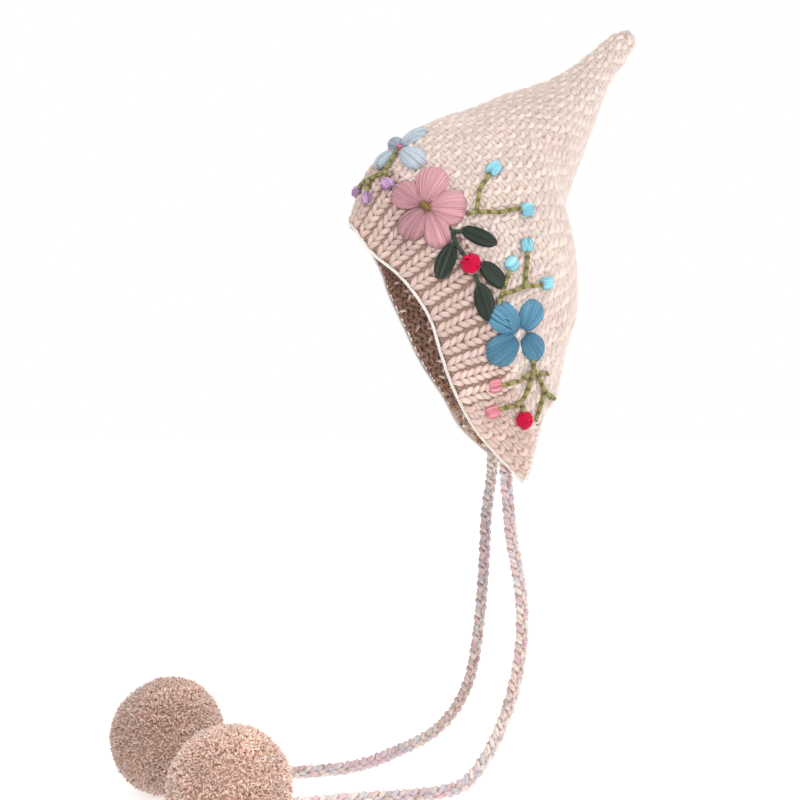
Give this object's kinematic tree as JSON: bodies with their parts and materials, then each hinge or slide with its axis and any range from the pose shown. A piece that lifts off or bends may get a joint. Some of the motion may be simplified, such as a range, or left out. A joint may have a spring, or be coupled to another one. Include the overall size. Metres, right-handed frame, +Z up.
{
  "type": "knit hat",
  "caption": "Child's pointed knit hood with a ribbed face band, wool flower embroidery on one side, and two braided ties that end in pompoms.",
  "frame": {"origin": "the crown of the head, inside the top of the hood, where a head carries it", "axes": "+Z up, the face looks along -Y, +X is the wearer's left, where the embroidery is"},
  "size_m": [0.2446, 0.3632, 0.5168],
  "materials": {
    "crown_knit": "seed stitch in cream chunky wool",
    "band_knit": "ribbed knit in cream chunky wool",
    "edging_yarn": "bound-off edge of pale wool",
    "rose_yarn": "satin stitch in rose wool",
    "pale_blue_yarn": "satin stitch in pale blue wool",
    "blue_yarn": "satin stitch in blue wool",
    "dark_green_yarn": "satin stitch in dark green wool",
    "olive_yarn": "twisted olive wool",
    "red_yarn": "wound red wool",
    "sky_yarn": "knotted sky blue wool",
    "coral_yarn": "knotted coral wool",
    "lilac_yarn": "knotted lilac wool",
    "gold_yarn": "knotted brownish gold wool",
    "tie_yarn": "braided wool in beige, rose and grey-blue",
    "pompom_yarn": "cut wool pile in rosy brown and beige"
  },
  "bodies": {
    "root": {"crown": "crown_knit", "face_band": "band_knit", "face_edging": "edging_yarn", "rose_petal_1": "rose_yarn", "rose_petal_2": "rose_yarn", "rose_petal_3": "rose_yarn", "rose_petal_4": "rose_yarn", "rose_petal_5": "rose_yarn", "pale_petal_1": "pale_blue_yarn", "pale_petal_2": "pale_blue_yarn", "pale_petal_3": "pale_blue_yarn", "pale_petal_4": "pale_blue_yarn", "blue_petal_1": "blue_yarn", "blue_petal_2": "blue_yarn", "blue_petal_3": "blue_yarn", "blue_petal_4": "blue_yarn", "leaf_1": "dark_green_yarn", "leaf_2": "dark_green_yarn", "leaf_3": "dark_green_yarn", "leaf_4": "dark_green_yarn", "berry_1": "red_yarn", "berry_2": "red_yarn", "sky_bud_1": "sky_yarn", "sky_bud_2": "sky_yarn", "sky_bud_3": "sky_yarn", "sky_bud_4": "sky_yarn", "sky_bud_5": "sky_yarn", "coral_bud_1": "coral_yarn", "coral_bud_2": "coral_yarn", "lilac_bud_1": "lilac_yarn", "lilac_bud_2": "lilac_yarn", "lilac_bud_3": "lilac_yarn", "rose_heart": "gold_yarn", "pale_heart": "rose_yarn", "lilac_stem": "olive_yarn", "upper_stem": "olive_yarn", "leaf_stem_1": "dark_green_yarn", "leaf_stem_2": "dark_green_yarn", "middle_stem": "olive_yarn", "lower_stem": "olive_yarn", "inner_knot": "dark_green_yarn", "tie_left": "tie_yarn", "tie_right": "tie_yarn", "pompom_left": "pompom_yarn", "pompom_right": "pompom_yarn"}
  },
  "joints": []
}
